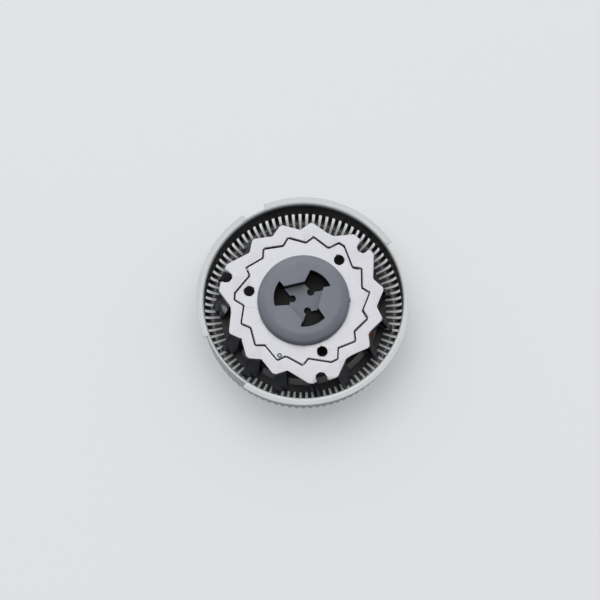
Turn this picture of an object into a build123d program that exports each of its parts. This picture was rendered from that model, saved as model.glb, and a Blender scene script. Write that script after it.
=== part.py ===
"""Rotary shaver head, lying on its shaving face with the drive side up. Millimetres."""
import os
from math import asin, atan, atan2, ceil, cos, degrees, hypot, radians, sin, tan

from build123d import *

os.makedirs("parts", exist_ok=True)

# Small rounds, small holes and the guard's bends are drawn as this many short flats.
round_flats = 2
hole_flats = 24
outer_bend_flats = 3
inner_bend_flats = 2

# Driving dimensions of the guard cap, a cup drawn from thin stainless sheet.
rim_height = 5.5
wall_r = 11.75
wall_t = 0.29
flange_r = 12.35
flange_t = 0.26
flange_bend = 0.38
trim_step = 6
trim_clear_r = 14.5
track_t = 0.20
corner_r = 0.95
track_inner_r = 8.84
plateau_r = 8.30
plateau_rise = 0.75
plateau_t = 0.32
slot_count = 90
slot_angle = 1.67
slot_inner_r = 9.62
slot_top = 1.45
bar_width = 0.50
bar_inset = 0.02
bar_root = 0.05

# Edge left by trimming the flange between the three lugs, as (angle, radius) corners.
trim_edges = (
    ((112.0, 11.81), (124.4, 11.81)),
    ((201.0, 11.81), (236.0, 11.81)),
    ((340.0, 12.35), (350.0, 12.21), (360.0, 11.98), (368.0, 11.81), (394.6, 11.81)),
)

# Centre of the shaving face: a riveted bearing pin under a plain cover disc.
pin_head_r = 2.2
pin_head_t = 0.35
pin_shank_r = 1.3
journal_r = 1.0
journal_top = 3.85
cover_gap = 0.08
cover_recess = 0.10

# Toothed outline of the cutter ring, repeated three times round the axis.
# Each tooth is (peak angle, peak radius, valley angle, valley radius) past its notch.
thirds = 3
third_angle = 360 / thirds
notch_angle = 42.5
notch_width = 1.36
notch_floor_r = 8.66
lobe_r = 9.85
lobe_rise = 111.5
valley_end = (28.5, 8.52)
cutter_teeth = (
    (11.0, 9.85, 22.8, 8.45),
    (41.8, 9.42, 49.9, 8.45),
    (63.8, 9.42, 72.6, 8.45),
    (86.3, 9.42, 95.0, 8.45),
)
tooth_round = 0.30
notch_round = 0.66
notch_edge_round = 0.18
ring_top = 5.42
ring_t = 0.32

# Outline of the lifter plate inside the ring, with the same three-fold repeat.
lifter_teeth = (
    (17.0, 7.98, 22.6, 6.91),
    (38.6, 7.70, 45.5, 6.91),
    (61.3, 7.70, 67.7, 6.91),
    (84.7, 7.70, 90.4, 6.91),
    (107.0, 7.70, 112.0, 6.91),
)
lifter_lobe = (11.0, 7.98)
outline_gap = 0.18
lifter_round = 0.20
lifter_t = 0.26
lifter_drop = 0.10
lifter_travel = 0.12
lifter_hole_r = 0.62
lifter_hole_pcr = 6.37
lifter_hole_angle = 7.2

# Legs of the cutter and fingers of the lifter, bent down to the slotted track.
leg_t = 0.26
leg_forward = 0.29
foot_inner_r = 9.56
foot_end_gap = 0.06
leg_inset = 0.10
finger_t = 0.20
finger_share = 0.5
finger_inset = 0.18
finger_end_gap = 0.30
finger_gap = 0.20
tip_clearance = 0.05
finger_tip_clearance = 0.15

# Plastic carrier under the plates, welded round the coupling's neck.
carrier_disc_r = 5.4
carrier_disc_t = 0.5
arm_width = 0.8
arm_end_r = 8.15
arm_pad_r = 7.55
arm_angles = (31.5, 56.5, 79.0, 101.5)

# Drive coupling with its three-lobed socket.
coupling_base_r = 5.33
shoulder_r = 5.20
shoulder_height = 6.22
shoulder_round = 0.40
coupling_top_r = 4.30
coupling_top_round = 0.90
coupling_height = 6.68
coupling_lift = 0.16
gate_length = 0.40
gate_width = 0.34
gate_proud = 0.08
gate_top = 6.05
neck_r = 3.9
neck_clearance = 0.06
weld_clearance = 0.02
stem_r = 2.6
stem_gap = 0.24
bearing_clearance = 0.03
bore_end_gap = 0.10
socket_outer_r = 3.43
lobe_lead_angle = 76.3
inner_corner = (86.2, 1.96)
barb_tip = (24.0, 3.22)
barb_root = (28.3, 2.63)
socket_floor = 5.30
pocket_inner = ((66.0, 1.55), (38.0, 1.70))
pocket_floor = 4.80
bite_r = 0.42
bite_centre = (50.5, 1.31)

# Disc spring between the coupling and the lifter plate.
spring_inner_r = 4.15
spring_outer_r = 5.0
spring_t = 0.08
spring_recess = 0.30
spring_gap = 0.04


def polar(radius, angle):
    return (radius * cos(radians(angle)), radius * sin(radians(angle)))


def mix(start, end, share):
    return (start[0] + (end[0] - start[0]) * share, start[1] + (end[1] - start[1]) * share)


def rounded(corners):
    """Outline through (point, radius[, flats]) corners, each round drawn as a few short flats."""
    outline = []
    for number, (point, radius, *own_flats) in enumerate(corners):
        flats = own_flats[0] if own_flats else round_flats
        corner = Vector(*point)
        if radius == 0:
            outline.append(corner)
            continue
        back = (Vector(*corners[number - 1][0]) - corner).normalized()
        ahead = (Vector(*corners[(number + 1) % len(corners)][0]) - corner).normalized()
        half = radians(back.get_angle(ahead)) / 2
        centre = corner + (back + ahead).normalized() * (radius / sin(half))
        first = corner + back * (radius / tan(half)) - centre
        last = corner + ahead * (radius / tan(half)) - centre
        turn = degrees(atan2(first.cross(last).Z, first.dot(last)))
        for step in range(flats + 1):
            outline.append(centre + first.rotate(Axis.Z, turn * step / flats))
    return outline


def beside(start, end, distance):
    """The line from start to end, moved to its right."""
    run = (end[0] - start[0], end[1] - start[1])
    scale = distance / hypot(*run)
    across = (run[1] * scale, -run[0] * scale)
    return ((start[0] + across[0], start[1] + across[1]), (end[0] + across[0], end[1] + across[1]))


def strip(start, end, thickness):
    """Corners of a flat strip along start to end, thickened to its right."""
    near, far = beside(start, end, thickness)
    return (start, end, far, near)


# Guard cap: the slots are cut between the bars, then the wall stands on them and its flange is trimmed.
track_top = track_t
inner_wall_r = wall_r - wall_t
plateau_top = plateau_rise + plateau_t
ramp_t = plateau_t / 2
ramp_outer_r = plateau_r - ramp_t
floor_section = (
    (pin_shank_r, plateau_top),
    (pin_shank_r, plateau_rise),
    (ramp_outer_r, plateau_rise),
    (track_inner_r - ramp_t, 0),
    (slot_inner_r + bar_root, 0),
    (slot_inner_r + bar_root, track_top),
    (track_inner_r, track_top),
    (plateau_r, plateau_top),
)
wall_section = rounded(
    (
        ((inner_wall_r, slot_top), 0),
        ((wall_r, slot_top), 0),
        ((wall_r, rim_height - flange_t), 0),
        ((flange_r, rim_height - flange_t), 0),
        ((flange_r, rim_height), 0),
        ((inner_wall_r, rim_height), flange_bend),
    )
)
bar_section = rounded(
    (
        ((slot_inner_r, 0), 0),
        ((wall_r - bar_inset, 0), corner_r, outer_bend_flats),
        ((wall_r - bar_inset, slot_top + bar_root), 0),
        ((inner_wall_r + bar_inset, slot_top + bar_root), 0),
        ((inner_wall_r + bar_inset, track_top), corner_r - track_t, inner_bend_flats),
        ((slot_inner_r, track_top), 0),
    )
)
bar_planes = []
for number in range(slot_count):
    bar_angle = (number + 0.5) * 360 / slot_count
    bar_planes.append(Plane(origin=(0, 0, 0), x_dir=polar(1, bar_angle), z_dir=polar(1, bar_angle - 90)))

with BuildPart() as guard_cap:
    with BuildSketch(Plane.XZ):
        Polygon(*floor_section, align=None)
    revolve(axis=Axis.Z)
    with BuildSketch(*bar_planes):
        Polygon(*bar_section, align=None)
    extrude(amount=bar_width / 2, both=True)
    with BuildSketch(Plane.XY.offset(-track_t)):
        slot_slope = tan(radians(slot_angle / 2))
        with PolarLocations(0, slot_count):
            Polygon(
                (slot_inner_r, -slot_inner_r * slot_slope),
                (flange_r, -flange_r * slot_slope),
                (flange_r, flange_r * slot_slope),
                (slot_inner_r, slot_inner_r * slot_slope),
                align=None,
            )
    extrude(amount=rim_height, mode=Mode.SUBTRACT)
    with BuildSketch(Plane.XZ):
        Polygon(*wall_section, align=None)
    revolve(axis=Axis.Z)
    for edge in trim_edges:
        trim = [polar(edge[0][1], edge[0][0])]
        for (from_angle, from_r), (to_angle, to_r) in zip(edge, edge[1:]):
            steps = ceil((to_angle - from_angle) / trim_step)
            for step in range(1, steps + 1):
                radius = from_r + (to_r - from_r) * step / steps
                trim.append(polar(radius, from_angle + (to_angle - from_angle) * step / steps))
        with BuildSketch(Plane.XY.offset(rim_height)):
            Polygon(*trim, polar(trim_clear_r, edge[-1][0]), polar(trim_clear_r, edge[0][0]), align=None)
        extrude(amount=-2 * flange_bend, mode=Mode.SUBTRACT)

guard_cap.part.label = "guard_cap"
export_step(guard_cap.part, "parts/guard_cap.step")

# Bearing pin: turned, with a head under the plateau and a journal for the carrier.
with BuildPart() as bearing_pin:
    with BuildSketch(Plane.XZ):
        with BuildLine():
            Polyline(
                (0, plateau_rise - pin_head_t),
                (pin_head_r, plateau_rise - pin_head_t),
                (pin_head_r, plateau_rise),
                (pin_shank_r, plateau_rise),
                (pin_shank_r, plateau_top),
                (journal_r, plateau_top),
                (journal_r, journal_top),
                (0, journal_top),
                close=True,
            )
        make_face()
    revolve(axis=Axis.Z)

bearing_pin.part.label = "bearing_pin"
export_step(bearing_pin.part, "parts/bearing_pin.step")

# Face cover: a plain thin disc in the recess, bonded to the pin's head.
cover_r = ramp_outer_r - cover_gap
with BuildPart() as face_cover:
    with BuildSketch(Plane.XY.offset(cover_recess)):
        Circle(cover_r)
    extrude(amount=plateau_rise - pin_head_t - cover_recess)

face_cover.part.label = "face_cover"
export_step(face_cover.part, "parts/face_cover.step")

# Outline points of the cutter ring and of the gap between it and the lifter plate.
ring_bottom = ring_top - ring_t
notch_floor_angle = degrees(atan(notch_width / 2 / notch_floor_r))
notch_corner_r = hypot(notch_floor_r, notch_width / 2)
notch_wall = degrees(asin(notch_width / 2 / lobe_r))
cutter_corners = []
for third in range(thirds):
    start = notch_angle + third * third_angle
    cutter_corners.append((polar(lobe_r, start - notch_wall), notch_edge_round))
    cutter_corners.append((polar(notch_corner_r, start - notch_floor_angle), notch_round))
    cutter_corners.append((polar(notch_corner_r, start + notch_floor_angle), notch_round))
    cutter_corners.append((polar(lobe_r, start + notch_wall), notch_edge_round))
    for number, (peak_angle, peak_r, valley_angle, valley_r) in enumerate(cutter_teeth):
        cutter_corners.append((polar(peak_r, start + peak_angle), tooth_round))
        cutter_corners.append((polar(valley_r, start + valley_angle), tooth_round))
        if number == 0:
            cutter_corners.append((polar(valley_end[1], start + valley_end[0]), tooth_round))
    cutter_corners.append((polar(lobe_r, start + lobe_rise), tooth_round))

gap_corners = []
for third in range(thirds):
    start = notch_angle + third * third_angle
    gap_corners.append((polar(lifter_lobe[1], start + lifter_lobe[0]), lifter_round))
    for peak_angle, peak_r, valley_angle, valley_r in lifter_teeth:
        gap_corners.append((polar(peak_r, start + peak_angle), lifter_round))
        gap_corners.append((polar(valley_r, start + valley_angle), lifter_round))

# Steep edges that carry the legs, each as (valley point, peak point).
leg_edges = []
for third in range(thirds):
    start = notch_angle + third * third_angle
    leg_edges.append((polar(notch_floor_r, start - notch_wall), polar(lobe_r, start - notch_wall), start))
    for peak_angle, peak_r, valley_angle, valley_r in cutter_teeth:
        valley = polar(valley_r, start + valley_angle)
        peak = polar(peak_r, start + peak_angle)
        leg_edges.append((valley, peak, start + (peak_angle + valley_angle) / 2))


foot_outer_r = wall_r - wall_t - (corner_r - track_t) - foot_end_gap


def foot_line(valley, peak, angle, inner_r, outer_r):
    """Foot of a leg on the track: parallel to its steep edge, from the inner to the outer radius."""
    outward = polar(inner_r - (valley[0] ** 2 + valley[1] ** 2) ** 0.5, angle)
    forward = polar(leg_forward, angle + 90)
    base = (valley[0] + outward[0] + forward[0], valley[1] + outward[1] + forward[1])
    edge = ((peak[0] - valley[0]) ** 2 + (peak[1] - valley[1]) ** 2) ** 0.5
    along = ((peak[0] - valley[0]) / edge, (peak[1] - valley[1]) / edge)
    lean = base[0] * along[0] + base[1] * along[1]
    length = (lean**2 + outer_r**2 - base[0] ** 2 - base[1] ** 2) ** 0.5 - lean
    return (base, (base[0] + along[0] * length, base[1] + along[1] * length))


# Cutter ring: punched outline, round-bottomed notches, legs bent down at the steep edges.
with BuildPart() as cutter_ring:
    with BuildSketch(Plane.XY.offset(ring_bottom)):
        Polygon(*rounded(cutter_corners), align=None)
        with BuildSketch(mode=Mode.SUBTRACT):
            Polygon(*rounded(gap_corners), align=None)
            offset(amount=outline_gap / 2, kind=Kind.INTERSECTION)
    extrude(amount=ring_t)
    for valley, peak, angle in leg_edges:
        foot_start, foot_end = foot_line(valley, peak, angle, foot_inner_r, foot_outer_r)
        with BuildSketch(Plane.XY.offset(ring_bottom + ring_t / 2)):
            Polygon(*strip(mix(valley, peak, leg_inset), mix(peak, valley, leg_inset), leg_t), align=None)
        with BuildSketch(Plane.XY.offset(track_top + tip_clearance)):
            Polygon(*strip(foot_start, foot_end, leg_t), align=None)
        loft(ruled=True)

cutter_ring.part.label = "cutter_ring"
export_step(cutter_ring.part, "parts/cutter_ring.step")

# Lifter plate: its fingers start at the steep edges of its own outline and end before each leg's foot.
lifter_top = ring_top - lifter_drop
lifter_bottom = lifter_top - lifter_t
finger_edges = []
for third in range(thirds):
    start = notch_angle + third * third_angle
    for peak_angle, peak_r, valley_angle, valley_r in lifter_teeth:
        finger_edges.append((polar(valley_r, start + valley_angle), polar(peak_r, start + peak_angle)))

tip_z = track_top + finger_tip_clearance
root_z = lifter_bottom + lifter_t / 2
with BuildPart() as lifter_plate:
    with BuildSketch(Plane.XY.offset(lifter_bottom)):
        with BuildSketch():
            Polygon(*rounded(gap_corners), align=None)
            offset(amount=-outline_gap / 2, kind=Kind.INTERSECTION)
        Circle(neck_r + neck_clearance, mode=Mode.SUBTRACT)
        with PolarLocations(lifter_hole_pcr, thirds, start_angle=notch_angle + lifter_hole_angle):
            RegularPolygon(lifter_hole_r, hole_flats, mode=Mode.SUBTRACT)
    extrude(amount=lifter_t)
    for number, (valley, peak) in enumerate(finger_edges):
        leg_valley, leg_peak, angle = leg_edges[(number + 1) % len(leg_edges)]
        leg_line = foot_line(leg_valley, leg_peak, angle, foot_inner_r, foot_outer_r - finger_end_gap)
        foot_start, foot_end = (Vector(*point, tip_z) for point in beside(*leg_line, leg_t + finger_gap))
        along = (foot_end - foot_start).normalized()
        half_root = along * (finger_share / 2 * hypot(peak[0] - valley[0], peak[1] - valley[1]))
        across = along.cross(Vector(0, 0, 1))
        middle = Vector(*mix(valley, peak, 0.5), root_z) + across * finger_inset
        finger_plane = Plane(origin=foot_start, x_dir=along, z_dir=along.cross(middle - foot_start))
        corners = (foot_start, foot_end, middle + half_root, middle - half_root)
        with BuildSketch(finger_plane):
            flat = [finger_plane.to_local_coords(corner) for corner in corners]
            Polygon(*((point.X, point.Y) for point in flat), align=None)
        extrude(amount=finger_t)

lifter_plate.part.label = "lifter_plate"
export_step(lifter_plate.part, "parts/lifter_plate.step")

# Blade carrier: a disc welded round the coupling's neck, with arms whose pads carry the ring.
carrier_top = lifter_bottom
carrier_bottom = carrier_top - carrier_disc_t
with BuildPart() as blade_carrier:
    with BuildSketch(Plane.XY.offset(carrier_top)):
        Circle(carrier_disc_r)
        for arm_angle in arm_angles:
            with PolarLocations(arm_end_r / 2, thirds, start_angle=notch_angle + arm_angle):
                Rectangle(arm_end_r, arm_width)
        Circle(neck_r + weld_clearance, mode=Mode.SUBTRACT)
    extrude(amount=-carrier_disc_t)
    with BuildSketch(Plane.XY.offset(carrier_top)):
        for arm_angle in arm_angles:
            with PolarLocations((arm_end_r + arm_pad_r) / 2, thirds, start_angle=notch_angle + arm_angle):
                Rectangle(arm_end_r - arm_pad_r, arm_width)
    extrude(amount=ring_bottom - carrier_top)

blade_carrier.part.label = "blade_carrier"
export_step(blade_carrier.part, "parts/blade_carrier.step")

# Drive coupling: a dome with a three-lobed socket, a neck through the lifter plate and a bush on the pin.
coupling_base = lifter_top + coupling_lift
stem_bottom = plateau_top + stem_gap
bore_top = journal_top + bore_end_gap
with BuildPart() as drive_coupling:
    with BuildSketch(Plane.XZ):
        coupling_corners = (
            ((0, stem_bottom), 0),
            ((stem_r, stem_bottom), 0),
            ((stem_r, carrier_bottom), 0),
            ((neck_r, carrier_bottom), 0),
            ((neck_r, coupling_base), 0),
            ((coupling_base_r, coupling_base), 0),
            ((shoulder_r, shoulder_height), shoulder_round),
            ((coupling_top_r, coupling_height), coupling_top_round),
            ((0, coupling_height), 0),
        )
        Polygon(*rounded(coupling_corners), align=None)
    revolve(axis=Axis.Z)
    with BuildSketch(Plane.XY.offset(coupling_base)):
        with Locations((coupling_base_r + gate_proud - gate_length / 2, 0)):
            Rectangle(gate_length, gate_width)
    extrude(amount=gate_top - coupling_base)
    with BuildSketch(Plane.XY.offset(stem_bottom)):
        Circle(journal_r + bearing_clearance)
    extrude(amount=bore_top - stem_bottom, mode=Mode.SUBTRACT)
    with BuildSketch(Plane.XY.offset(coupling_base)):
        Circle(spring_outer_r + spring_gap)
        Circle(neck_r, mode=Mode.SUBTRACT)
    extrude(amount=spring_recess, mode=Mode.SUBTRACT)
    with BuildSketch(Plane.XY.offset(coupling_height)):
        with BuildLine():
            for third in range(thirds):
                start = third * third_angle
                lead = start + lobe_lead_angle
                trail = start + barb_tip[0]
                next_trail = polar(socket_outer_r, trail + third_angle)
                inner = polar(inner_corner[1], start + inner_corner[0])
                next_root = polar(barb_root[1], start + barb_root[0] + third_angle)
                CenterArc((0, 0), socket_outer_r, trail, lead - trail)
                Polyline(polar(socket_outer_r, lead), inner, next_root, next_trail)
        make_face()
    extrude(amount=socket_floor - coupling_height, mode=Mode.SUBTRACT)
    with BuildSketch(Plane.XY.offset(socket_floor)):
        for third in range(thirds):
            start = third * third_angle
            lead = start + lobe_lead_angle
            trail = start + barb_tip[0]
            inner = polar(inner_corner[1], start + inner_corner[0])
            root = polar(barb_root[1], start + barb_root[0])
            island = [polar(radius, start + angle) for angle, radius in pocket_inner]
            with BuildLine():
                CenterArc((0, 0), socket_outer_r, trail, lead - trail)
                Polyline(polar(socket_outer_r, lead), inner, *island, root, polar(socket_outer_r, trail))
            make_face()
        with PolarLocations(bite_centre[1], thirds, start_angle=bite_centre[0]):
            RegularPolygon(bite_r, hole_flats)
    extrude(amount=pocket_floor - socket_floor, mode=Mode.SUBTRACT)

drive_coupling.part.label = "drive_coupling"
export_step(drive_coupling.part, "parts/drive_coupling.step")

# Disc spring: a thin steel cone seated in the coupling's recess, over the lifter plate.
with BuildPart() as lifter_spring:
    with BuildSketch(Plane.XZ):
        with BuildLine():
            spring_high = coupling_base + spring_recess
            spring_low = lifter_top + lifter_travel + spring_gap
            Polyline(
                (spring_inner_r, spring_high - spring_t),
                (spring_outer_r, spring_low),
                (spring_outer_r, spring_low + spring_t),
                (spring_inner_r, spring_high),
                close=True,
            )
        make_face()
    revolve(axis=Axis.Z)

lifter_spring.part.label = "lifter_spring"
export_step(lifter_spring.part, "parts/lifter_spring.step")
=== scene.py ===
"""Dresses the rotary shaver head: drawn guard, bladed cutter, lifter plate and grey coupling."""
import math

import bmesh
import bpy
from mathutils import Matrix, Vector


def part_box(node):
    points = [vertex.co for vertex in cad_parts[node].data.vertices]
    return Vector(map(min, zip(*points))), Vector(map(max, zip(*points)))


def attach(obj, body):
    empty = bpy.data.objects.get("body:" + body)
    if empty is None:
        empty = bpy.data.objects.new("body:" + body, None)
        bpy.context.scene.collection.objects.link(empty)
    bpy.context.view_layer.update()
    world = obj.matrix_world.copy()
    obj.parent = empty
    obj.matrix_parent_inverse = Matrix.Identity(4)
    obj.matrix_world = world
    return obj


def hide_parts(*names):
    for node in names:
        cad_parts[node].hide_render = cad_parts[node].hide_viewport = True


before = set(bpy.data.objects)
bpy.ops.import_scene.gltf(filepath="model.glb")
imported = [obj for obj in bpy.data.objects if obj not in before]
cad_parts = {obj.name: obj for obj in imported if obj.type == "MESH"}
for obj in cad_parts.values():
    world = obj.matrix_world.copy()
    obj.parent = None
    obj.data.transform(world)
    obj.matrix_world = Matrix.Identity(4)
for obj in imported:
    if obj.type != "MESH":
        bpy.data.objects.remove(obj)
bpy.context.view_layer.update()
mm = 0.001


# Guard cap: a cup drawn from thin stainless sheet, with slots cut round its bottom edge and three
# lugs left on its rim. Drawing lines run round the steel, its rolled rim is painted pale as a painted
# highlight, painted shade darkens the inside, a thin ring on the bars is left lighter as a painted
# highlight, and some rust-brown residue has settled on the slope of its floor.
bar_count = 90
slot_angle = math.radians(1.67)
slot_inner_r = 9.62 * mm
slot_top = 1.46 * mm
bar_root = 0.05 * mm
bar_outer_r = 11.73 * mm
bar_inner_r = 11.48 * mm
track_t = 0.20 * mm
bend_centre_z = 0.95 * mm
bend_steps = 8
pin_hole_r = 1.30 * mm
recess_r = 8.14 * mm
recess_z = 0.75 * mm
recess_t = 0.32 * mm
face_inner_r = 8.68 * mm
slope_step = 0.16 * mm
guard_edge = 0.035 * mm
merge_gap = 0.0005 * mm
flat_angle = math.radians(0.5)
sharp_angle = math.radians(35)

steel_dark = (0.335, 0.34, 0.343)
steel_bright = (0.405, 0.41, 0.413)
# Colour of the painted shade inside the cup.
inside_shade_colour = (0.055, 0.056, 0.058)
# Pale steel, dullness and limits of the painted highlight on the rolled rim.
rim_highlight_steel = (0.55, 0.56, 0.57)
rim_highlight_dullness = 0.7
residue_brown = (0.30, 0.12, 0.06)
cup_middle = (0, 0, 4.0 * mm)
inward_facing = (0.05, -0.15)
# Heights over which the painted shade inside the cup fades in.
inside_shade_z = (5.1 * mm, 4.8 * mm)
rim_highlight_z = (5.0 * mm, 5.2 * mm)
rim_highlight_r = (11.95 * mm, 11.75 * mm)
# A thin ring on the bars that gets less of the painted shade, a painted highlight of their bend.
bend_highlight_ring = ((10.46 * mm, 10.56 * mm), (10.80 * mm, 10.68 * mm))
bend_highlight_share = 0.3
residue_place = (7.85 * mm, -3.0 * mm, 0.9 * mm)
residue_reach = 0.85 * mm


def packed_shape(node):
    """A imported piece's faces, ready for changes."""
    work = bmesh.new()
    work.from_mesh(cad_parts[node].data)
    bmesh.ops.remove_doubles(work, verts=work.verts, dist=merge_gap)
    return work


def dressed(work, node, body, material, edge, segments=2, rule=None, values=()):
    """The piece that takes a packed one's place, its rule worked out and its edges rolled over."""
    bmesh.ops.dissolve_limit(work, angle_limit=flat_angle, verts=work.verts, edges=work.edges)
    for face in work.faces:
        face.smooth = True
    mesh = bpy.data.meshes.new(node + "_shape")
    work.to_mesh(mesh)
    work.free()
    rough = bpy.data.objects.new(node + "_rough", mesh)
    bpy.context.collection.objects.link(rough)
    if rule:
        repeat = rough.modifiers.new("rule", "NODES")
        repeat.node_group = rule
        for item in rule.interface.items_tree:
            if item.name in values:
                repeat[item.identifier] = values[item.name]
    bevel = rough.modifiers.new("rolled_edge", "BEVEL")
    bevel.width = edge
    bevel.segments = segments
    bevel.limit_method = "ANGLE"
    bevel.angle_limit = sharp_angle
    bevel.use_clamp_overlap = True
    shade = rough.modifiers.new("even_shade", "WEIGHTED_NORMAL")
    shade.weight = 100
    shade.keep_sharp = True
    shown = bpy.context.evaluated_depsgraph_get()
    plain = bpy.data.meshes.new_from_object(rough.evaluated_get(shown))
    bpy.data.objects.remove(rough)
    plain.materials.clear()
    plain.materials.append(material)
    piece = bpy.data.objects.new(node + "_dressed", plain)
    bpy.context.collection.objects.link(piece)
    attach(piece, body)
    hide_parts(node)
    return piece


def set_inputs(node, inputs):
    """Sets a node's input values by name, with underscores standing for spaces."""
    for name, value in inputs.items():
        node.inputs[name.replace("_", " ")].default_value = value


def add_node(tree, kind, **inputs):
    """A new node with some of its input values set."""
    node = tree.nodes.new(kind)
    set_inputs(node, inputs)
    return node


def add_group(tree, group, **inputs):
    """A shared node group with its own values in this tree."""
    node = tree.nodes.new("ShaderNodeGroup")
    node.node_tree = group
    set_inputs(node, inputs)
    return node


def add_colour(tree, colour):
    """A plain colour, as a socket."""
    node = tree.nodes.new("ShaderNodeRGB")
    node.outputs[0].default_value = (*colour, 1)
    return node.outputs[0]


def add_math(tree, operation, first, second=0.0):
    """A maths node on two sockets or numbers, giving its output."""
    node = tree.nodes.new("ShaderNodeMath")
    node.operation = operation
    for socket, value in zip(node.inputs, (first, second)):
        if isinstance(value, bpy.types.NodeSocket):
            tree.links.new(value, socket)
        else:
            socket.default_value = value
    return node.outputs[0]


def add_range(tree, value, low, high, start=0.0, end=1.0):
    """A smooth step of a socket from low to high, giving its output."""
    node = add_node(tree, "ShaderNodeMapRange", From_Min=low, From_Max=high, To_Min=start, To_Max=end)
    node.interpolation_type = "SMOOTHSTEP"
    tree.links.new(value, node.inputs["Value"])
    return node.outputs["Result"]


def add_band(tree, value, rise, fall):
    """1 between two soft limits of a socket, each given by its values for 0 and for 1."""
    return add_math(tree, "MULTIPLY", add_range(tree, value, *rise), add_range(tree, value, *fall))


def add_blend(tree, share, first, second):
    """A colour blend between two sockets, giving its output."""
    node = tree.nodes.new("ShaderNodeMix")
    node.data_type = "RGBA"
    tree.links.new(share, node.inputs["Factor"])
    tree.links.new(first, node.inputs["A"])
    tree.links.new(second, node.inputs["B"])
    return node.outputs["Result"]


def new_group(name, inputs, outputs):
    """An empty shader node group with its sockets, and its two end nodes."""
    group = bpy.data.node_groups.new(name, "ShaderNodeTree")
    for label, kind, value in inputs:
        socket = group.interface.new_socket(name=label, in_out="INPUT", socket_type="NodeSocket" + kind)
        socket.default_value = value
    for label, kind in outputs:
        group.interface.new_socket(name=label, in_out="OUTPUT", socket_type="NodeSocket" + kind)
    return group, group.nodes.new("NodeGroupInput"), group.nodes.new("NodeGroupOutput")


def axis_place_group():
    """Distance from the head's axis and height, both in metres."""
    group, entry, leave = new_group("axis_place", (), (("Radius", "Float"), ("Height", "Float")))
    place = group.nodes.new("ShaderNodeTexCoord")
    split = group.nodes.new("ShaderNodeSeparateXYZ")
    group.links.new(place.outputs["Object"], split.inputs["Vector"])
    across = add_math(group, "MULTIPLY", split.outputs["X"], split.outputs["X"])
    along = add_math(group, "MULTIPLY", split.outputs["Y"], split.outputs["Y"])
    radius = add_math(group, "SQRT", add_math(group, "ADD", across, along))
    group.links.new(radius, leave.inputs["Radius"])
    group.links.new(split.outputs["Z"], leave.inputs["Height"])
    return group


def spot_distance_group():
    """Distance from a point of the head, in metres."""
    inputs = (("Point", "Vector", (0.0, 0.0, 0.0)),)
    group, entry, leave = new_group("spot_distance", inputs, (("Distance", "Float"),))
    place = group.nodes.new("ShaderNodeTexCoord")
    gap = group.nodes.new("ShaderNodeVectorMath")
    gap.operation = "DISTANCE"
    group.links.new(place.outputs["Object"], gap.inputs[0])
    group.links.new(entry.outputs["Point"], gap.inputs[1])
    group.links.new(gap.outputs["Value"], leave.inputs["Distance"])
    return group


def worn_skin_group(place):
    """Drifting tone and polish, fine pits, lines turned round the axis, and an overlay colour laid over
    them by a mask, which the materials use for painted shade and one stamped mark.
    """
    black = (0.0, 0.0, 0.0, 1.0)
    cloud_range = (0.35, 0.65)
    inputs = (
        ("Dark", "Color", black),
        ("Bright", "Color", black),
        ("Film Colour", "Color", black),
        ("Overlay", "Float", 0.0),
        ("Smooth", "Float", 0.3),
        ("Rough", "Float", 0.4),
        ("Film Rough", "Float", 0.5),
        ("Cloud Scale", "Float", 300.0),
        ("Pit Scale", "Float", 6000.0),
        ("Pit Depth", "Float", 0.0),
        ("Line Scale", "Float", 9000.0),
        ("Line Depth", "Float", 0.0),
    )
    outputs = (("Color", "Color"), ("Roughness", "Float"), ("Normal", "Vector"))
    group, entry, leave = new_group("worn_skin", inputs, outputs)
    spot = group.nodes.new("ShaderNodeTexCoord")
    cloud = add_node(group, "ShaderNodeTexNoise", Detail=4.0)
    pits = add_node(group, "ShaderNodeTexNoise", Detail=3.0)
    lines = add_node(group, "ShaderNodeTexNoise", Detail=2.0)
    axis = add_group(group, place)
    turned = group.nodes.new("ShaderNodeCombineXYZ")
    group.links.new(axis.outputs["Radius"], turned.inputs["X"])
    group.links.new(axis.outputs["Height"], turned.inputs["Y"])
    group.links.new(spot.outputs["Object"], cloud.inputs["Vector"])
    group.links.new(spot.outputs["Object"], pits.inputs["Vector"])
    group.links.new(turned.outputs["Vector"], lines.inputs["Vector"])
    group.links.new(entry.outputs["Cloud Scale"], cloud.inputs["Scale"])
    group.links.new(entry.outputs["Pit Scale"], pits.inputs["Scale"])
    group.links.new(entry.outputs["Line Scale"], lines.inputs["Scale"])
    drift = add_range(group, cloud.outputs["Fac"], *cloud_range)
    tone = add_blend(group, drift, entry.outputs["Dark"], entry.outputs["Bright"])
    tone = add_blend(group, entry.outputs["Overlay"], tone, entry.outputs["Film Colour"])
    group.links.new(tone, leave.inputs["Color"])
    polish = group.nodes.new("ShaderNodeMix")
    group.links.new(drift, polish.inputs["Factor"])
    group.links.new(entry.outputs["Smooth"], polish.inputs["A"])
    group.links.new(entry.outputs["Rough"], polish.inputs["B"])
    filmed = group.nodes.new("ShaderNodeMix")
    group.links.new(entry.outputs["Overlay"], filmed.inputs["Factor"])
    group.links.new(polish.outputs["Result"], filmed.inputs["A"])
    group.links.new(entry.outputs["Film Rough"], filmed.inputs["B"])
    group.links.new(filmed.outputs["Result"], leave.inputs["Roughness"])
    pitted = group.nodes.new("ShaderNodeBump")
    group.links.new(pits.outputs["Fac"], pitted.inputs["Height"])
    group.links.new(entry.outputs["Pit Depth"], pitted.inputs["Distance"])
    lined = group.nodes.new("ShaderNodeBump")
    group.links.new(lines.outputs["Fac"], lined.inputs["Height"])
    group.links.new(entry.outputs["Line Depth"], lined.inputs["Distance"])
    group.links.new(pitted.outputs["Normal"], lined.inputs["Normal"])
    group.links.new(lined.outputs["Normal"], leave.inputs["Normal"])
    return group


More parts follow.
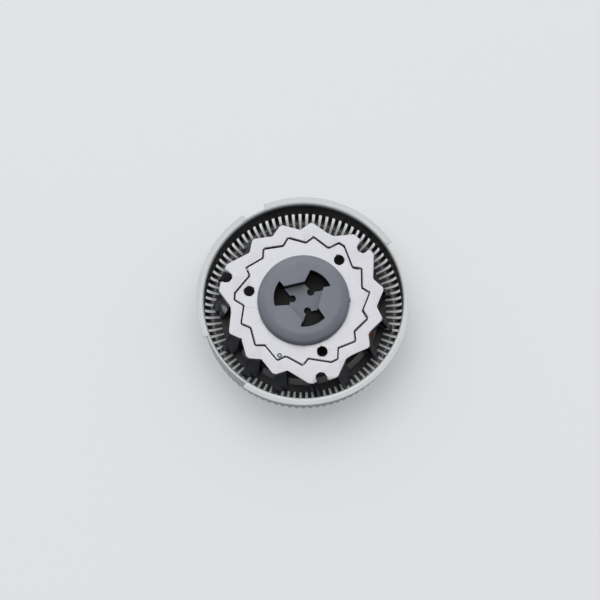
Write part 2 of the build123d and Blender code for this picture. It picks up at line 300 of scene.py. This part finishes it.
axis_place = axis_place_group()
spot_distance = spot_distance_group()
worn_skin = worn_skin_group(axis_place)


def add_axis(tree):
    """The outputs that give radius and height, by name."""
    return add_group(tree, axis_place).outputs


def add_distance(tree, point):
    """Distance from a point of the head, in metres."""
    return add_group(tree, spot_distance, Point=point).outputs["Distance"]


def add_patch(tree, point, reach):
    """A soft round patch about a point of the head, from 0 at its reach to 1."""
    return add_range(tree, add_distance(tree, point), reach, 0.5 * reach)


def add_facing(tree, centre):
    """How far a face looks away from a point of the head, from -1 to 1."""
    spot = tree.nodes.new("ShaderNodeTexCoord")
    outward = tree.nodes.new("ShaderNodeVectorMath")
    outward.operation = "SUBTRACT"
    outward.inputs[1].default_value = centre
    tree.links.new(spot.outputs["Object"], outward.inputs[0])
    unit = tree.nodes.new("ShaderNodeVectorMath")
    unit.operation = "NORMALIZE"
    tree.links.new(outward.outputs["Vector"], unit.inputs[0])
    facing = tree.nodes.new("ShaderNodeVectorMath")
    facing.operation = "DOT_PRODUCT"
    tree.links.new(spot.outputs["Normal"], facing.inputs[0])
    tree.links.new(unit.outputs["Vector"], facing.inputs[1])
    return facing.outputs["Value"]


def skinned(name, metallic, dark, bright, overlay_colour=(0.0, 0.0, 0.0), **values):
    """A material with the worn skin, giving the material, its tree and the skin's node."""
    material = bpy.data.materials.new(name)
    material.use_nodes = True
    tree = material.node_tree
    shader = tree.nodes["Principled BSDF"]
    shader.inputs["Metallic"].default_value = metallic
    skin = add_group(tree, worn_skin, Dark=(*dark, 1), Bright=(*bright, 1), Film_Colour=(*overlay_colour, 1))
    set_inputs(skin, values)
    tree.links.new(skin.outputs["Color"], shader.inputs["Base Color"])
    tree.links.new(skin.outputs["Roughness"], shader.inputs["Roughness"])
    tree.links.new(skin.outputs["Normal"], shader.inputs["Normal"])
    return material, tree, skin


def drawn_stainless():
    """Satin steel with turned lines, with painted shade inside, a painted highlight ring on the bars and a
    painted highlight on the rolled rim.
    """
    material, tree, skin = skinned(
        "drawn_stainless", metallic=1.0, dark=steel_dark, bright=steel_bright, overlay_colour=inside_shade_colour,
        Smooth=0.3, Rough=0.42, Film_Rough=0.5, Pit_Depth=0.001 * mm, Line_Depth=0.002 * mm,
    )
    shader = tree.nodes["Principled BSDF"]
    place = add_axis(tree)
    # Painted highlight: the rolled rim is painted pale steel and made less metallic.
    high = add_range(tree, place["Height"], *rim_highlight_z)
    rim_highlight = add_math(tree, "MULTIPLY", high, add_range(tree, place["Radius"], *rim_highlight_r))
    tone = add_blend(tree, rim_highlight, skin.outputs["Color"], add_colour(tree, rim_highlight_steel))
    residue = add_patch(tree, residue_place, residue_reach)
    tone = add_blend(tree, residue, tone, add_colour(tree, residue_brown))
    tree.links.new(tone, shader.inputs["Base Color"])
    dull = add_math(tree, "MAXIMUM", add_math(tree, "MULTIPLY", rim_highlight, rim_highlight_dullness), residue)
    tree.links.new(add_math(tree, "SUBTRACT", 1.0, dull), shader.inputs["Metallic"])
    # Painted shade: faces looking inward, below the rim, are darkened by the overlay.
    inward = add_range(tree, add_facing(tree, cup_middle), *inward_facing)
    inside_shade = add_math(tree, "MULTIPLY", inward, add_range(tree, place["Height"], *inside_shade_z))
    # Painted highlight: a thin ring on the bars, where their bend starts, is spared some of the painted
    # shade.
    bend_highlight = add_math(tree, "MULTIPLY", add_band(tree, place["Radius"], *bend_highlight_ring), bend_highlight_share)
    inside_shade = add_math(tree, "MULTIPLY", inside_shade, add_math(tree, "SUBTRACT", 1.0, bend_highlight))
    tree.links.new(inside_shade, skin.inputs["Overlay"])
    return material


def bend(side_r, radius, start, end):
    """Section points round one side of the bars' bend, which runs into the wall at side_r."""
    centre_r = side_r - radius
    turns = [math.radians(start + (end - start) * step / bend_steps) for step in range(bend_steps + 1)]
    return [(centre_r + radius * math.cos(turn), bend_centre_z + radius * math.sin(turn)) for turn in turns]


def spin_floor(shape):
    """Adds the guard's floor: a recessed disc, its slope and the track inside the slots."""
    section = (
        (pin_hole_r, recess_z + recess_t),
        (pin_hole_r, recess_z),
        (recess_r, recess_z),
        (face_inner_r, 0),
        (slot_inner_r + bar_root, 0),
        (slot_inner_r + bar_root, track_t),
        (face_inner_r + slope_step, track_t),
        (recess_r + slope_step, recess_z + recess_t),
    )
    profile = [shape.verts.new((radius, 0, height)) for radius, height in section]
    sides = [shape.edges.new((first, second)) for first, second in zip(profile, profile[1:] + profile[:1])]
    bmesh.ops.spin(
        shape, geom=profile + sides, cent=(0, 0, 0), axis=(0, 0, 1),
        angle=math.tau, steps=2 * bar_count, use_merge=True,
    )


def mark_bar(shape):
    """Adds one bar, a metre to each side of the X axis for its rule to narrow, and marks its faces."""
    section = [(slot_inner_r, 0)]
    section += bend(bar_outer_r, bend_centre_z, -90, 0)
    section += [(bar_outer_r, slot_top + bar_root), (bar_inner_r, slot_top + bar_root)]
    section += bend(bar_inner_r, bend_centre_z - track_t, 0, -90)
    section += [(slot_inner_r, track_t)]
    near = [shape.verts.new((radius, -1, height)) for radius, height in section]
    far = [shape.verts.new((radius, 1, height)) for radius, height in section]
    mark = shape.faces.layers.int.new("bar")
    faces = [shape.faces.new(near), shape.faces.new(far[::-1])]
    for number in range(len(section)):
        faces.append(shape.faces.new((near[number - 1], far[number - 1], far[number], near[number])))
    for face in faces:
        face[mark] = 1


def guard_bars_rule():
    """Repeats the faces marked as a bar round the axis, widening with radius between even slots."""
    group = bpy.data.node_groups.new("guard_bars", "GeometryNodeTree")
    group.interface.new_socket(name="Geometry", in_out="INPUT", socket_type="NodeSocketGeometry")
    group.interface.new_socket(name="Bar Count", in_out="INPUT", socket_type="NodeSocketInt")
    group.interface.new_socket(name="Slot Angle", in_out="INPUT", socket_type="NodeSocketFloat")
    group.interface.new_socket(name="Steel", in_out="INPUT", socket_type="NodeSocketMaterial")
    group.interface.new_socket(name="Geometry", in_out="OUTPUT", socket_type="NodeSocketGeometry")
    entry = group.nodes.new("NodeGroupInput")
    leave = group.nodes.new("NodeGroupOutput")
    mark = add_node(group, "GeometryNodeInputNamedAttribute", Name="bar")
    mark.data_type = "INT"
    part = group.nodes.new("GeometryNodeSeparateGeometry")
    part.domain = "FACE"
    group.links.new(entry.outputs["Geometry"], part.inputs["Geometry"])
    group.links.new(mark.outputs["Attribute"], part.inputs["Selection"])
    pitch = add_math(group, "DIVIDE", math.tau, entry.outputs["Bar Count"])
    bar_angle = add_math(group, "SUBTRACT", pitch, entry.outputs["Slot Angle"])
    half_bar = add_math(group, "MULTIPLY", bar_angle, 0.5)
    place = group.nodes.new("GeometryNodeInputPosition")
    split = group.nodes.new("ShaderNodeSeparateXYZ")
    group.links.new(place.outputs["Position"], split.inputs["Vector"])
    half_width = add_math(group, "MULTIPLY", split.outputs["X"], add_math(group, "TANGENT", half_bar))
    narrowed = group.nodes.new("ShaderNodeCombineXYZ")
    group.links.new(split.outputs["X"], narrowed.inputs["X"])
    group.links.new(add_math(group, "MULTIPLY", split.outputs["Y"], half_width), narrowed.inputs["Y"])
    group.links.new(split.outputs["Z"], narrowed.inputs["Z"])
    shaped = group.nodes.new("GeometryNodeSetPosition")
    group.links.new(part.outputs["Selection"], shaped.inputs["Geometry"])
    group.links.new(narrowed.outputs["Vector"], shaped.inputs["Position"])
    stations = add_node(group, "GeometryNodeMeshLine", Offset=(0, 0, 0))
    group.links.new(entry.outputs["Bar Count"], stations.inputs["Count"])
    number = group.nodes.new("GeometryNodeInputIndex")
    turn = add_math(group, "MULTIPLY", add_math(group, "ADD", number.outputs["Index"], 0.5), pitch)
    spin = group.nodes.new("ShaderNodeCombineXYZ")
    group.links.new(turn, spin.inputs["Z"])
    ring = group.nodes.new("GeometryNodeInstanceOnPoints")
    group.links.new(stations.outputs["Mesh"], ring.inputs["Points"])
    group.links.new(shaped.outputs["Geometry"], ring.inputs["Instance"])
    group.links.new(spin.outputs["Vector"], ring.inputs["Rotation"])
    whole = group.nodes.new("GeometryNodeJoinGeometry")
    group.links.new(part.outputs["Inverted"], whole.inputs["Geometry"])
    group.links.new(ring.outputs["Instances"], whole.inputs["Geometry"])
    real = group.nodes.new("GeometryNodeRealizeInstances")
    group.links.new(whole.outputs["Geometry"], real.inputs["Geometry"])
    steel = group.nodes.new("GeometryNodeSetMaterial")
    group.links.new(real.outputs["Geometry"], steel.inputs["Geometry"])
    group.links.new(entry.outputs["Steel"], steel.inputs["Material"])
    group.links.new(steel.outputs["Geometry"], leave.inputs["Geometry"])
    return group


guard_steel = drawn_stainless()
guard_shape = packed_shape("guard_cap")
whole = guard_shape.verts[:] + guard_shape.edges[:] + guard_shape.faces[:]
bmesh.ops.bisect_plane(
    guard_shape, geom=whole, plane_co=(0, 0, slot_top), plane_no=(0, 0, 1), clear_inner=True,
)
bmesh.ops.bridge_loops(guard_shape, edges=[side for side in guard_shape.edges if side.is_boundary])
spin_floor(guard_shape)
mark_bar(guard_shape)
bmesh.ops.recalc_face_normals(guard_shape, faces=guard_shape.faces)
dressed(
    guard_shape, "guard_cap", "guard", guard_steel, guard_edge, rule=guard_bars_rule(),
    values={"Bar Count": bar_count, "Slot Angle": slot_angle, "Steel": guard_steel},
)

# Bearing pin: a small steel pin, turned and polished, and riveted in the middle of the guard. The
# coupling's bush runs on it.
pin_edge = 0.05 * mm
pin_steel = skinned(
    "turned_steel", metallic=1.0, dark=(0.40, 0.40, 0.40), bright=(0.50, 0.50, 0.50),
    Line_Depth=0.002 * mm,
)[0]
dressed(packed_shape("bearing_pin"), "bearing_pin", "guard", pin_steel, pin_edge)

# Face cover: a plain disc moulded in silver-grey plastic, with a fine eggshell surface. It is
# bonded in the recess in the middle of the shaving face.
cover_edge = 0.06 * mm
cover_plastic = skinned(
    "silver_plastic", metallic=0.0, dark=(0.42, 0.43, 0.44), bright=(0.50, 0.51, 0.52),
    Pit_Depth=0.002 * mm,
)[0]
dressed(packed_shape("face_cover"), "face_cover", "guard", cover_plastic, cover_edge)

# Blade carrier: a spider moulded in nearly black plastic, round the coupling's neck. It lies under
# the two steel plates and carries the cutter ring.
carrier_edge = 0.04 * mm
carrier_plastic, carrier_tree = skinned(
    "dark_plastic", metallic=0.0, dark=(0.010, 0.010, 0.011), bright=(0.018, 0.018, 0.020),
    Smooth=0.6, Rough=0.75, Pit_Depth=0.003 * mm,
)[:2]
carrier_tree.nodes["Principled BSDF"].inputs["Specular IOR Level"].default_value = 0.25
dressed(
    packed_shape("blade_carrier"), "blade_carrier", "rotor", carrier_plastic,
    carrier_edge,
)

# Cutter ring: punched from spring steel and tumbled bright, which eased the edges of its top. Its
# eased edges get painted edge light, its legs are bent down to the slots and darkened with painted
# shade below the plate, and one leg on the left has a painted glint.
ease_width = 0.09 * mm
ease_drop = 0.05 * mm
punched_edge = 0.03 * mm
plate_low_z = 5.0 * mm
level_facing = 0.99
upright_facing = 0.1
eased_facing = ((0.6, 0.7), (0.97, 0.93))
eased_low_z = 5.15 * mm
eased_fade = 0.05 * mm
# Colour of the painted shade low down, also used for the lifter's stamped ring.
shade_and_stamp_colour = (0.10, 0.105, 0.13)
# Paler steel of the painted edge light.
edge_light_steel = (0.60, 0.60, 0.61)
# Painted glint on one leg: its colour, dullness, place and reach.
glint_steel = (0.95, 0.95, 1.0)
glint_dullness = 0.7
glint_place = (-9.0 * mm, -0.72 * mm, 3.3 * mm)
glint_reach = 1.1 * mm
# Heights over which the cutter's painted shade fades in.
cutter_low_shade_z = (5.1 * mm, 4.7 * mm)


def eased_top(node):
    """A packed plate whose top is eased all along its punched outline, up to the legs' bends."""
    work = packed_shape(node)
    level = [face for face in work.faces if face.normal.z > level_facing]
    top = [face for face in level if face.calc_center_median().z > plate_low_z]
    strip = bmesh.ops.inset_region(
        work, faces=top, thickness=ease_width, use_even_offset=True, use_boundary=True,
    )
    flat = {vert for face in top for vert in face.verts}
    outline = {vert for face in strip["faces"] for vert in face.verts} - flat
    easing = set(strip["faces"])
    for vert in outline:
        if all(abs(face.normal.z) < upright_facing for face in set(vert.link_faces) - easing):
            vert.co.z -= ease_drop
    for face in easing:
        for side in face.edges:
            side.smooth = False
    return work


def eased_edge_group(place):
    """A mask of a plate's eased edges, which slope gently and lie above a height in metres."""
    group, entry, leave = new_group("eased_edge", (("Above", "Float", 0.0),), (("Mask", "Float"),))
    spot = group.nodes.new("ShaderNodeTexCoord")
    split = group.nodes.new("ShaderNodeSeparateXYZ")
    group.links.new(spot.outputs["Normal"], split.inputs["Vector"])
    sloping = add_band(group, split.outputs["Z"], *eased_facing)
    height = add_group(group, place).outputs["Height"]
    over = add_math(group, "SUBTRACT", height, entry.outputs["Above"])
    mask = add_math(group, "MULTIPLY", sloping, add_range(group, over, 0.0, eased_fade))
    group.links.new(mask, leave.inputs["Mask"])
    return group


eased_edge = eased_edge_group(axis_place)


def punched_steel(name, dark, bright, low_shade_z):
    """Tumbled sheet steel, with painted shade lower down, painted edge light on its eased edges and a
    painted glint at one spot.
    """
    material, tree, skin = skinned(
        name, metallic=1.0, dark=dark, bright=bright, overlay_colour=shade_and_stamp_colour,
        Smooth=0.32, Rough=0.45, Film_Rough=0.35, Cloud_Scale=700.0, Pit_Depth=0.003 * mm,
    )
    # Painted shade: the steel is darkened lower down, below the plate.
    low_shade = add_range(tree, add_axis(tree)["Height"], *low_shade_z)
    tree.links.new(low_shade, skin.inputs["Overlay"])
    # Painted edge light: the eased edges are painted a paler steel, set so that the gap between the plates
    # shows a highlight and a wider dark line.
    edge = add_group(tree, eased_edge, Above=eased_low_z).outputs["Mask"]
    tone = add_blend(tree, edge, skin.outputs["Color"], add_colour(tree, edge_light_steel))
    # Painted glint: one spot on a leg on the left is painted pale and made less metallic.
    patch = add_patch(tree, glint_place, glint_reach)
    tone = add_blend(tree, patch, tone, add_colour(tree, glint_steel))
    shader = tree.nodes["Principled BSDF"]
    tree.links.new(tone, shader.inputs["Base Color"])
    dull = add_math(tree, "MULTIPLY", patch, glint_dullness)
    tree.links.new(add_math(tree, "SUBTRACT", 1.0, dull), shader.inputs["Metallic"])
    return material, tree, skin, low_shade


cutter_steel = punched_steel("tumbled_steel", (0.40, 0.40, 0.42), (0.48, 0.48, 0.505), cutter_low_shade_z)[0]
dressed(eased_top("cutter_ring"), "cutter_ring", "rotor", cutter_steel, punched_edge)

# Lifter spring: a thin disc rolled from spring strip and left bare. It lies hidden under the
# coupling and presses the lifter plate towards the face.
spring_edge = 0.01 * mm
spring_steel = skinned("spring_strip", metallic=1.0, dark=(0.35, 0.35, 0.37), bright=(0.42, 0.42, 0.44))[0]
dressed(packed_shape("lifter_spring"), "lifter_spring", "rotor", spring_steel, spring_edge)

# Lifter plate: a thinner star, punched and tumbled like the ring. Its fingers are bent down ahead
# of the cutting legs and darkened on their lower half with painted shade, and one small ring is
# stamped in its top.
# Heights over which the lifter's painted shade fades in.
lifter_low_shade_z = (3.6 * mm, 2.2 * mm)
stamp_centre = (-2.75 * mm, -6.49 * mm, 5.32 * mm)
stamp_r = 0.19 * mm
stamp_line = (0.13 * mm, 0.07 * mm)

lifter_steel, lifter_tree, lifter_skin, low_shade = punched_steel(
    "lifter_sheet", (0.41, 0.41, 0.43), (0.49, 0.49, 0.515), lifter_low_shade_z,
)
off_stamp = add_math(lifter_tree, "SUBTRACT", add_distance(lifter_tree, stamp_centre), stamp_r)
stamp = add_range(lifter_tree, add_math(lifter_tree, "ABSOLUTE", off_stamp), *stamp_line)
# The overlay carries the painted shade low down and the stamped ring.
lifter_tree.links.new(add_math(lifter_tree, "MAXIMUM", low_shade, stamp), lifter_skin.inputs["Overlay"])
dressed(eased_top("lifter_plate"), "lifter_plate", "lifter", lifter_steel, punched_edge)

# Drive coupling: a dome moulded in grey plastic, with a three-lobed socket for the drive spindle.
# Painted shade darkens the socket's walls and the bottom of its three pockets.
coupling_edge = 0.05 * mm
# Colour and limits of the painted shade in the socket.
socket_shade_colour = (0.007, 0.0075, 0.008)
wall_facing = (0.5, 0.2)
shaded_wall_z = (6.55 * mm, 6.2 * mm)
shaded_floor_z = (5.28 * mm, 5.1 * mm)
shaded_socket_r = (3.8 * mm, 3.6 * mm)

coupling_plastic, coupling_tree, coupling_skin = skinned(
    "grey_plastic", metallic=0.0, dark=(0.178, 0.189, 0.221), bright=(0.204, 0.215, 0.252),
    overlay_colour=socket_shade_colour, Smooth=0.38, Rough=0.5, Film_Rough=0.7,
    Pit_Depth=0.003 * mm, Pit_Scale=5000.0,
)
coupling_tree.nodes["Principled BSDF"].inputs["Specular IOR Level"].default_value = 0.3
spot = coupling_tree.nodes.new("ShaderNodeTexCoord")
split = coupling_tree.nodes.new("ShaderNodeSeparateXYZ")
coupling_tree.links.new(spot.outputs["Normal"], split.inputs["Vector"])
coupling_place = add_axis(coupling_tree)
# Painted shade: the socket's upright walls and the pockets' bottom are darkened by the overlay.
upright = add_range(coupling_tree, add_math(coupling_tree, "ABSOLUTE", split.outputs["Z"]), *wall_facing)
sunk = add_range(coupling_tree, coupling_place["Height"], *shaded_wall_z)
inner = add_range(coupling_tree, coupling_place["Radius"], *shaded_socket_r)
wall = add_math(coupling_tree, "MULTIPLY", add_math(coupling_tree, "MULTIPLY", upright, sunk), inner)
deep = add_range(coupling_tree, coupling_place["Height"], *shaded_floor_z)
socket_shade = add_math(coupling_tree, "MULTIPLY", add_math(coupling_tree, "MAXIMUM", wall, deep), inner)
coupling_tree.links.new(socket_shade, coupling_skin.inputs["Overlay"])
dressed(
    packed_shape("drive_coupling"), "drive_coupling", "rotor", coupling_plastic,
    coupling_edge, segments=3,
)

# Floor, light and camera: a pale table, one broad soft light above the far left, and the
# photograph's view, which looks down from the near side 14 degrees off the vertical.
floor_half = 0.5
table_colour = (0.865, 0.872, 0.875)
# Colour, radii and shares of the table's glow: painted light on the shadow, faded out under the head as
# painted shade.
table_glow_colour = (0.745, 0.755, 0.765)
under_head_shade_r = (9.8 * mm, 11.4 * mm)
table_glow_share = (0.04, 0.32)
sky_colour = (0.97, 0.985, 1.0)
near_sky, far_sky = 0.20, 0.92
window_place = Vector((-0.06, 0.20, 0.58))
window_size = 0.8
window_glow = 1.13
photo_pixels = 600
pixel_size = 0.1152 * mm
rim_pixel = (303.5, 300.2)
view_distance = 350 * mm
view_elevation = math.radians(75.8)
sensor = 36.0

floor_mesh = bpy.data.meshes.new("floor")
work = bmesh.new()
bmesh.ops.create_grid(work, x_segments=1, y_segments=1, size=floor_half)
work.to_mesh(floor_mesh)
work.free()
floor = bpy.data.objects.new("floor", floor_mesh)
bpy.context.collection.objects.link(floor)
table = bpy.data.materials.new("pale_table")
table.use_nodes = True
table_tree = table.node_tree
matt = table_tree.nodes["Principled BSDF"]
matt.inputs["Base Color"].default_value = (*table_colour, 1)
matt.inputs["Roughness"].default_value = 0.8
# The table glows a little for camera, glossy and transmission rays, painted light that lightens the head's
# shadow. The glow fades out under the head, painted shade on the table seen through the slots.
pale = add_node(table_tree, "ShaderNodeEmission", Color=(*table_glow_colour, 1))
ray = table_tree.nodes.new("ShaderNodeLightPath")
seen = add_math(table_tree, "MAXIMUM", ray.outputs["Is Camera Ray"], ray.outputs["Is Glossy Ray"])
seen = add_math(table_tree, "MAXIMUM", seen, ray.outputs["Is Transmission Ray"])
table_place = table_tree.nodes.new("ShaderNodeTexCoord")
table_r = table_tree.nodes.new("ShaderNodeVectorMath")
table_r.operation = "LENGTH"
table_tree.links.new(table_place.outputs["Object"], table_r.inputs[0])
share = add_range(table_tree, table_r.outputs["Value"], *under_head_shade_r, *table_glow_share)
softened = table_tree.nodes.new("ShaderNodeMixShader")
table_tree.links.new(add_math(table_tree, "MULTIPLY", seen, share), softened.inputs[0])
table_tree.links.new(matt.outputs["BSDF"], softened.inputs[1])
table_tree.links.new(pale.outputs["Emission"], softened.inputs[2])
table_tree.links.new(softened.outputs["Shader"], table_tree.nodes["Material Output"].inputs["Surface"])
floor_mesh.materials.append(table)

world = bpy.data.worlds.new("studio")
world.use_nodes = True
bpy.context.scene.world = world
backdrop = world.node_tree.nodes["Background"]
backdrop.inputs["Color"].default_value = (*sky_colour, 1)
around = world.node_tree.nodes.new("ShaderNodeTexCoord")
compass = world.node_tree.nodes.new("ShaderNodeSeparateXYZ")
world.node_tree.links.new(around.outputs["Generated"], compass.inputs["Vector"])
fade = add_range(world.node_tree, compass.outputs["Y"], -1.0, 1.0, near_sky, far_sky)
world.node_tree.links.new(fade, backdrop.inputs["Strength"])

window = bpy.data.lights.new("window", "AREA")
window.shape = "DISK"
window.size = window_size
window_area = math.pi * window_size * window_size / 4
window.energy = window_glow * math.pi * window_area
window_holder = bpy.data.objects.new("window", window)
window_holder.location = window_place
window_holder.rotation_euler = (-window_place).to_track_quat("-Z", "Y").to_euler()
bpy.context.collection.objects.link(window_holder)

half_frame = photo_pixels / 2
frame_shift = ((half_frame - rim_pixel[0]) * pixel_size, (rim_pixel[1] - half_frame) * pixel_size)
back = Vector((0, -math.cos(view_elevation), math.sin(view_elevation)))
up = Vector((0, math.sin(view_elevation), math.cos(view_elevation)))
rim_centre = Vector((0, 0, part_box("guard_cap")[1].z))
aim = rim_centre + Vector((1, 0, 0)) * frame_shift[0] + up * frame_shift[1]
lens_data = bpy.data.cameras.new("camera")
lens_data.sensor_width = sensor
lens_data.lens = sensor * view_distance / (photo_pixels * pixel_size)
lens_data.clip_start = 0.01
lens_data.clip_end = 10
camera = bpy.data.objects.new("camera", lens_data)
camera.location = aim + back * view_distance
camera.rotation_euler = (-back).to_track_quat("-Z", "Y").to_euler()
bpy.context.collection.objects.link(camera)
bpy.context.scene.camera = camera
bpy.context.scene.view_settings.view_transform = "Standard"
